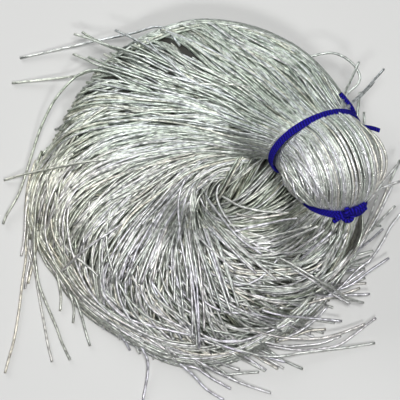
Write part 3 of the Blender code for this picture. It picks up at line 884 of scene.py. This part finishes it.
# The wires of the rim's wall
# Round the outside the lengths lie one above another down to the table.
WALL_COUNT = 300
WALL_BEARINGS = (0, 60, 95, 165, 200, 250, 280, 350, 360)
WALL_TOPS = (8.0, 15.0, 4.0, 4.0, 12.0, 9.0, 5.0, 4.0, 8.0)
wall_routes = []
for wire in range(WALL_COUNT):
    bearing = dice.uniform(0, 2 * np.pi)
    height = dice.uniform(0.6, np.interp(np.degrees(bearing), WALL_BEARINGS, WALL_TOPS))
    steps = int(dice.uniform(14, 34))
    drift = dice.uniform(-0.05, 0.05)
    inset = WIRE_RADIUS + dice.uniform(-0.1, 1.3)
    route = []
    for step in range(steps):
        out = np.array((math.cos(bearing), math.sin(bearing)))
        level = max(WIRE_RADIUS, height)
        origin = Vector((*(EYE + 110 * out), level))
        hit = upper_form.ray_cast(origin, Vector((-out[0], -out[1], 0.0)))[0]
        if hit is None:
            break
        route.append((hit[0] - inset * out[0], hit[1] - inset * out[1], level))
        bearing += STEP / 66.0
        height += drift * STEP
    if len(route) > 6:
        route = np.array(route)
        route[:, 0] = eased(route[:, 0])
        route[:, 1] = eased(route[:, 1])
        wall_routes.append(route)
# Painted shade: the wall's wires are darkened by a random share.
wall_shade_depths = dice.uniform(0.1, 0.7, len(wall_routes))
wire_piece("wall_wires", wall_routes, WIRE_RADIUS, silver, dice, shade_depths=wall_shade_depths)

# The loose ends
# Cut ends that stand out of the heap all round. The long ones are placed wire by wire, from where
# each leaves the heap to its tip; shorter ones fill the rim between them.
SEEN_WIRES = (
    # height of the tip, how far it rides over the heap, then columns and rows of the view
    (0.6, 0.6, ((180, 46), (168, 31), (155, 27), (130, 34), (100, 40), (60, 49), (20, 58))),
    (0.6, 0.4, ((132, 85), (115, 75), (100, 70), (88, 72), (75, 76), (40, 80), (12, 83))),
    (1.2, 0.4, ((118, 76), (96, 70), (80, 74), (66, 86), (54, 101), (44, 120), (37, 138), (31, 157),
                (25, 176), (19, 193), (12, 206), (7, 214), (3, 224))),
    (9.0, 0.7, ((168, 72), (140, 58), (120, 51), (100, 43), (90, 39), (74, 34))),
    (9.5, 0.9, ((160, 60), (125, 50), (110, 46), (100, 42), (90, 37), (82, 32))),
    (14.0, 1.0, ((185, 76), (165, 58), (145, 45), (130, 37), (115, 30))),
    (7.0, 0.8, ((170, 92), (140, 78), (115, 70), (97, 65), (85, 59), (73, 54))),
    (9.0, 0.8, ((145, 77), (125, 70), (110, 66), (100, 62), (88, 57))),
    (9.0, 0.9, ((140, 74), (125, 69), (112, 64), (101, 58))),
    (12.0, 0.8, ((142, 70), (128, 64), (115, 60), (104, 54))),
    (12.0, 0.8, ((150, 66), (134, 60), (120, 57), (110, 53))),
    (18.0, 1.0, ((290, 42), (300, 49), (310, 56), (320, 54), (333, 53), (344, 57), (353, 64), (358, 71),
                 (360, 78), (357, 85), (350, 91), (346, 96), (344, 102), (344, 112))),
    (20.0, 0.5, ((341, 112), (343, 100), (346, 90), (350, 82), (354, 73), (359, 62))),
    (17.0, 0.5, ((340, 113), (347, 107), (356, 99), (366, 89), (375, 79), (384, 69))),
    (17.4, 1.4, ((341, 114), (348, 108), (357, 100), (367, 90), (374, 82))),
    (12.0, 0.5, ((352, 125), (357, 117), (358, 108), (360, 92))),
    (10.0, 0.5, ((362, 132), (364, 124), (364, 112))),
    (0.8, 0.5, ((36, 160), (29, 180), (26, 202), (26, 222), (25, 236), (26, 256), (22, 285),
                (19, 310), (14, 340), (9, 358), (5, 373))),
    (0.8, 0.5, ((43, 158), (34, 180), (30, 202), (29, 222), (27, 242), (30, 256),
                (35, 272), (38, 291), (43, 318), (48, 345), (52, 362))),
    (0.8, 0.6, ((50, 166), (40, 190), (36, 206), (35, 222), (34, 245), (36, 266),
                (39, 285), (46, 303), (57, 329), (62, 343), (70, 360))),
    (0.8, 0.5, ((66, 280), (76, 300), (82, 318), (86, 333), (90, 346))),
    (0.6, 0.3, ((56, 270), (59, 284), (61, 298), (60, 311))),
    (0.6, 0.3, ((67, 286), (72, 300), (74, 311), (73, 323))),
    (2.0, 0.3, ((31, 188), (26, 210), (25, 228), (24, 240), (23, 248), (21, 256))),
    (1.0, 0.8, ((122, 157), (85, 162), (60, 167), (40, 171), (22, 175), (4, 180))),
    (0.6, 0.3, ((140, 345), (147, 358), (148, 370), (146, 384), (143, 400))),
    (0.6, 0.4, ((178, 362), (189, 371), (197, 379), (204, 387), (212, 393), (224, 400))),
    (0.6, 0.4, ((180, 364), (196, 368), (204, 373), (213, 379), (222, 384), (231, 389))),
    (0.6, 0.5, ((190, 356), (205, 365), (215, 371), (226, 376), (241, 383), (258, 389), (271, 393))),
    (0.6, 0.5, ((198, 362), (212, 370), (226, 374), (243, 373), (259, 372))),
    (0.8, 0.5, ((202, 356), (216, 361), (228, 366), (240, 370))),
    (0.8, 0.5, ((214, 342), (236, 350), (258, 355), (271, 358), (285, 362))),
    (1.0, 0.7, ((192, 300), (194, 318), (196, 334), (197, 347))),
    (0.8, 0.6, ((225, 345), (258, 355), (281, 356), (300, 353), (325, 350), (350, 347), (375, 343))),
    (2.5, 0.7, ((250, 330), (280, 337), (310, 339), (332, 336), (350, 330), (365, 324))),
    (1.5, 0.6, ((265, 345), (300, 350), (326, 348), (341, 344), (360, 330), (376, 318))),
    (2.0, 0.6, ((262, 341), (285, 346), (305, 345), (322, 343), (341, 336))),
    (3.5, 0.8, ((262, 310), (280, 315), (300, 317), (320, 319), (342, 321))),
    (4.0, 0.8, ((278, 340), (290, 336), (303, 329), (316, 319), (327, 307))),
    (3.0, 0.8, ((275, 342), (290, 338), (308, 331), (326, 329))),
    (5.0, 1.0, ((280, 258), (300, 269), (320, 281), (340, 296), (352, 300), (364, 303))),
    (5.0, 1.0, ((292, 268), (312, 280), (326, 289), (338, 297), (350, 304))),
    (3.5, 0.9, ((300, 290), (325, 296), (345, 295), (370, 294))),
    (3.5, 0.7, ((305, 304), (328, 298), (346, 293), (360, 288))),
    (4.0, 0.8, ((312, 304), (336, 291), (352, 284), (371, 270), (389, 258))),
    (4.0, 0.8, ((318, 303), (336, 290), (352, 279), (365, 270))),
    (5.0, 0.8, ((318, 300), (336, 291), (357, 270), (371, 259), (383, 241), (391, 226), (402, 212))),
    (6.0, 0.8, ((312, 285), (332, 272), (350, 264), (370, 256))),
    (6.0, 0.8, ((325, 282), (345, 262), (362, 247), (373, 238), (383, 229))),
    (9.0, 0.9, ((322, 284), (342, 262), (354, 247), (368, 234), (381, 220), (395, 206))),
    (12.0, 1.0, ((324, 284), (341, 265), (351, 250), (362, 234), (369, 219), (374, 205), (378, 195))),
    (12.0, 1.3, ((330, 280), (344, 264), (353, 252), (362, 240), (371, 223), (379, 208), (386, 192),
                 (390, 181))),
    (11.0, 1.0, ((331, 284), (347, 263), (357, 251), (372, 226), (380, 212), (386, 199), (392, 186))),
    (9.0, 0.9, ((334, 286), (350, 264), (366, 237), (377, 214), (388, 186), (400, 160))),
    (12.0, 0.9, ((340, 252), (352, 226), (362, 208), (371, 199), (384, 181), (400, 162))),
    (13.0, 0.5, ((348, 208), (357, 200), (366, 194), (381, 188), (401, 181))),
    (8.0, 0.6, ((338, 225), (352, 224), (366, 225), (381, 226))),
    (30.0, 0.5, ((222, 196), (240, 206), (262, 211), (290, 213), (316, 214))),
    (30.0, 0.9, ((232, 232), (256, 226), (285, 220), (312, 217), (326, 215))),
    (30.0, 0.6, ((240, 246), (262, 238), (290, 232), (315, 224), (328, 217))),
    (30.0, 1.1, ((262, 250), (285, 240), (305, 232), (322, 224), (333, 218))),
    (30.0, 0.8, ((286, 256), (305, 244), (322, 232), (335, 220))),
    (30.0, 1.0, ((300, 260), (316, 246), (330, 234), (341, 220))),
    (30.0, 0.7, ((322, 260), (333, 246), (342, 232), (347, 219))),
    (30.0, 0.7, ((236, 214), (258, 218), (284, 214), (306, 212), (320, 214))),
    (30.0, 0.9, ((204, 212), (218, 228), (236, 246), (254, 260), (276, 272), (296, 280))),
    (30.0, 1.1, ((206, 196), (216, 210), (230, 228), (244, 242), (262, 254))),
    (1.5, 1.0, ((122, 224), (110, 232), (95, 242), (80, 254), (68, 265), (56, 276))),
    (1.0, 0.9, ((37, 230), (38, 244), (43, 258), (49, 268), (57, 277))),
)
FRINGE_ENDS = (
    # from and to bearing, how many, shortest and longest reach past the rim, lean
    (178, 194, 2, 1.0, 3.0, 20.0), (217, 237, 3, 1.0, 4.0, 24.0), (262, 280, 6, 2.0, 6.0, 38.0),
    (285, 345, 20, 2.0, 10.0, 52.0), (345, 366, 3, 3.0, 8.0, 44.0),
)
TOP_LOCKS = (
    # how many wires, how far apart in pixels, then columns and rows of the middle one
    (13, 8.0, ((172, 224), (164, 240), (157, 258), (151, 276))),
    (10, 7.0, ((150, 222), (138, 240), (128, 257), (120, 276))),
    (9, 5.0, ((187, 228), (188, 250), (190, 275), (192, 300))),
    (4, 4.5, ((189, 245), (193, 278), (196, 312), (197, 338))),
    (8, 5.0, ((203, 228), (212, 252), (223, 282), (232, 308))),
    (8, 6.0, ((214, 226), (229, 241), (247, 258), (266, 274))),
)
ROOT_SHARE = 0.9


def smooth_route(rows, steps=8):
    rows = np.array(rows, dtype=float)
    ends = np.vstack([2 * rows[0] - rows[1], rows, 2 * rows[-1] - rows[-2]])
    out = []
    for row in range(len(rows) - 1):
        before, here, there, after = ends[row:row + 4]
        t = np.linspace(0, 1, steps, endpoint=False)[:, None]
        out.append(0.5 * (2 * here + (there - before) * t
                          + (2 * before - 5 * here + 4 * there - after) * t ** 2
                          + (3 * here - before - 3 * there + after) * t ** 3))
    out.append(rows[-1:])
    return np.concatenate(out)


def seen_route(tip, over, rows):
    """A wire by its places in the view: on the heap first, then free and sinking to its tip."""
    rows = smooth_route(rows, 5)
    heights = np.full(len(rows), 12.0)
    for repeat in range(3):
        plan = np.array([from_view(column, row, height)[:2]
                         for (column, row), height in zip(rows, heights)])
        share, bearings = whorl_place(plan)
        top = top_of(upper_form, plan)
        run = np.concatenate([[0.0], np.linalg.norm(np.diff(plan, axis=0), axis=1).cumsum()])
        resting = np.where(share < 0.85, bridged(run, top), top) + over
        free = np.flatnonzero((share > 0.94) | (top < 1.0))
        heights = resting.copy()
        if len(free) and free[0] < len(rows) - 1:
            first = max(free[0] - 1, 0)
            t = np.linspace(0, 1, len(rows) - first)
            heights[first:] = tip + (max(resting[first], tip) - tip) * (1 - t) ** 1.7
        tuck = 2.2 * np.clip(1 - np.arange(len(rows)) / 4.0, 0, 1)
        heights = np.maximum(eased(heights - tuck, 3), WIRE_RADIUS)
    return np.column_stack([plan, heights])


def loose_route(bearing, lean, tip, root_height, steps=16):
    start = EYE + ROOT_SHARE * by_bearing(RIM_REACH, np.array([bearing]))[0] * np.array(
        (math.cos(bearing), math.sin(bearing)))
    heading = bearing + math.radians(90.0 - lean)
    span = np.linalg.norm(tip - start)
    leave = span * np.array((math.cos(heading), math.sin(heading)))
    t = np.linspace(0, 1, steps)[:, None]
    flat = ((2 * t ** 3 - 3 * t ** 2 + 1) * start + (t ** 3 - 2 * t ** 2 + t) * leave
            + (3 * t ** 2 - 2 * t ** 3) * tip + (t ** 3 - t ** 2) * (tip - start))
    share, bearings = whorl_place(flat)
    down = np.clip(((share - 1) * by_bearing(RIM_REACH, bearings) + 3.0) / 5.5, 0, 1)
    height = WIRE_RADIUS + root_height * (1 - down) ** 1.5
    return np.column_stack([flat, height])


loose_routes = [seen_route(tip, over, rows) for tip, over, rows in SEEN_WIRES]
for count, apart, rows in TOP_LOCKS:
    middle = np.array(rows, dtype=float)
    for wire in range(count):
        shift = dice.normal(0, apart) + dice.normal(0, 0.4 * apart) * np.linspace(-1, 1, len(rows))
        own = middle + np.column_stack([shift, 0.3 * np.abs(shift)])
        own = own[0] + (own - own[0]) * dice.uniform(0.68, 1.15)
        loose_routes.append(seen_route(0.6, dice.uniform(0.2, 1.0), own))
for first, last, count, least, most, lean in FRINGE_ENDS:
    for wire in range(count):
        bearing = math.radians(dice.uniform(first - 3, last + 3))
        own_lean = lean + dice.normal(0, 9)
        heading = bearing + math.radians(90.0 - own_lean)
        reach = dice.uniform(least, most) + 0.1 * by_bearing(RIM_REACH, np.array([bearing]))[0]
        length = reach / math.sin(math.radians(max(14.0, own_lean)))
        curl = math.radians(dice.uniform(-4.0, 9.0))
        root = EYE + ROOT_SHARE * by_bearing(RIM_REACH, np.array([bearing]))[0] * np.array(
            (math.cos(bearing), math.sin(bearing)))
        tip = root + length * np.array((math.cos(heading + curl), math.sin(heading + curl)))
        loose_routes.append(loose_route(bearing, own_lean, tip, dice.uniform(2.0, 6.0)))
wire_piece("loose_wires", loose_routes, WIRE_RADIUS, silver, dice)

# The blue cords
# Each tie is a thin two-ply cotton cord wound four times round the bunch and knotted, with its
# ends cut short. The neck's knot is at the far side, the other one faces the near side.
CORD_RADIUS = 0.50
KNOT_RADIUS = 0.9
CORD_TURNS = 4
CORD_SPREAD = 1.40
cord_finish = bpy.data.materials.new("blue cotton cord")
cord_finish.use_nodes = True
cord_nodes = cord_finish.node_tree.nodes
cord_links = cord_finish.node_tree.links
cord_shader = cord_nodes["Principled BSDF"]
cord_shader.inputs["Roughness"].default_value = 0.9
cord_shader.inputs["Specular IOR Level"].default_value = 0.12
cord_wound = cord_nodes.new("ShaderNodeGroup")
cord_wound.node_tree = wound_strand
cord_wound.inputs["Pitch"].default_value = 1.1
cord_wound.inputs["Kink Length"].default_value = 0.25
cord_wound.inputs["Kink Share"].default_value = 0.35
# Painted shade and highlight: the blue is darker in the grooves of the twist and brighter on its crests.
cord_colour_and_twist_shade = ramp(cord_nodes, cord_links, cord_wound.outputs["Height"],
                   ((0.1, (0.002, 0.001, 0.04)), (0.5, (0.005, 0.003, 0.14)), (0.9, (0.016, 0.011, 0.34))))
cord_links.new(cord_colour_and_twist_shade, cord_shader.inputs["Base Color"])
cord_bump = cord_nodes.new("ShaderNodeBump")
cord_bump.inputs["Strength"].default_value = 0.8
cord_bump.inputs["Distance"].default_value = 0.0003
cord_links.new(cord_wound.outputs["Height"], cord_bump.inputs["Height"])
cord_links.new(cord_bump.outputs["Normal"], cord_shader.inputs["Normal"])


def bound_turns(row, start_angle):
    """The cord's turns round the bunch at a row, from and back to the knot."""
    steps = 180
    angles = start_angle + np.linspace(0, CORD_TURNS * 2 * np.pi, steps)
    middle, side, up, along, wide, high = [value[0] for value in bunch_frame(np.array([row]))]
    across = np.linspace(-CORD_SPREAD, CORD_SPREAD, steps)[:, None]
    out = CORD_RADIUS + 0.5
    return (middle + along * across + side * ((wide + out) * np.cos(angles))[:, None]
            + up * ((high + out) * np.sin(angles))[:, None])


def knot_loop(centre, size, outward):
    """An overhand knot's closed loop, facing outward."""
    outward = np.array(outward) / np.linalg.norm(outward)
    first = np.cross(outward, (0.0, 0.0, 1.0))
    first /= np.linalg.norm(first)
    second = np.cross(outward, first)
    t = np.linspace(0, 2 * np.pi, 60)
    flat_x = (np.sin(t) + 2 * np.sin(2 * t)) * size
    flat_y = (np.cos(t) - 2 * np.cos(2 * t)) * size
    deep = -np.sin(3 * t) * size
    return (np.array(centre) + first * flat_x[:, None] + second * flat_y[:, None]
            + outward * deep[:, None])


NECK_ENDS = (
    ((61.5, 28.0, 26.0), (64.5, 27.6, 23.0), (68.0, 27.4, 21.2), (71.0, 26.6, 20.5)),
    ((61.5, 28.0, 26.0), (59.5, 33.0, 28.5), (56.5, 36.5, 31.0), (54.2, 38.6, 32.5)),
)
FRONT_ENDS = (
    ((56.6, -8.3, 35.6), (59.8, -7.6, 35.6), (62.9, -6.1, 34.6)),
    ((56.6, -8.3, 36.2), (59.4, -6.6, 36.4), (62.3, -4.7, 35.8)),
    ((56.6, -8.3, 35.6), (53.2, -9.9, 35.2), (50.6, -11.3, 33.6)),
    ((56.6, -8.3, 35.6), (53.6, -8.8, 35.8), (50.9, -9.9, 35.0)),
    ((56.8, -7.6, 36.2), (60.4, -3.0, 36.4), (64.2, 1.2, 33.6)),
)
for name, row, centre, ends, size, facing in (
        ("neck_tie", NECK_TIE_ROW, (61.5, 28.0, 26.0), NECK_ENDS, 0.6, (0.8, 0.5, 0.2)),
        ("end_tie", END_TIE_ROW, (56.6, -8.3, 35.9), FRONT_ENDS, 1.08, (0.35, -0.55, 0.75))):
    turns = [bound_turns(row, 0.0)]
    knot = [knot_loop(centre, size, facing)] + [smooth_route(end) for end in ends]
    wire_piece(f"{name}_turns", turns, CORD_RADIUS, cord_finish, dice, 10, name)
    wire_piece(f"{name}_knot", knot, KNOT_RADIUS, cord_finish, dice, 10, name)
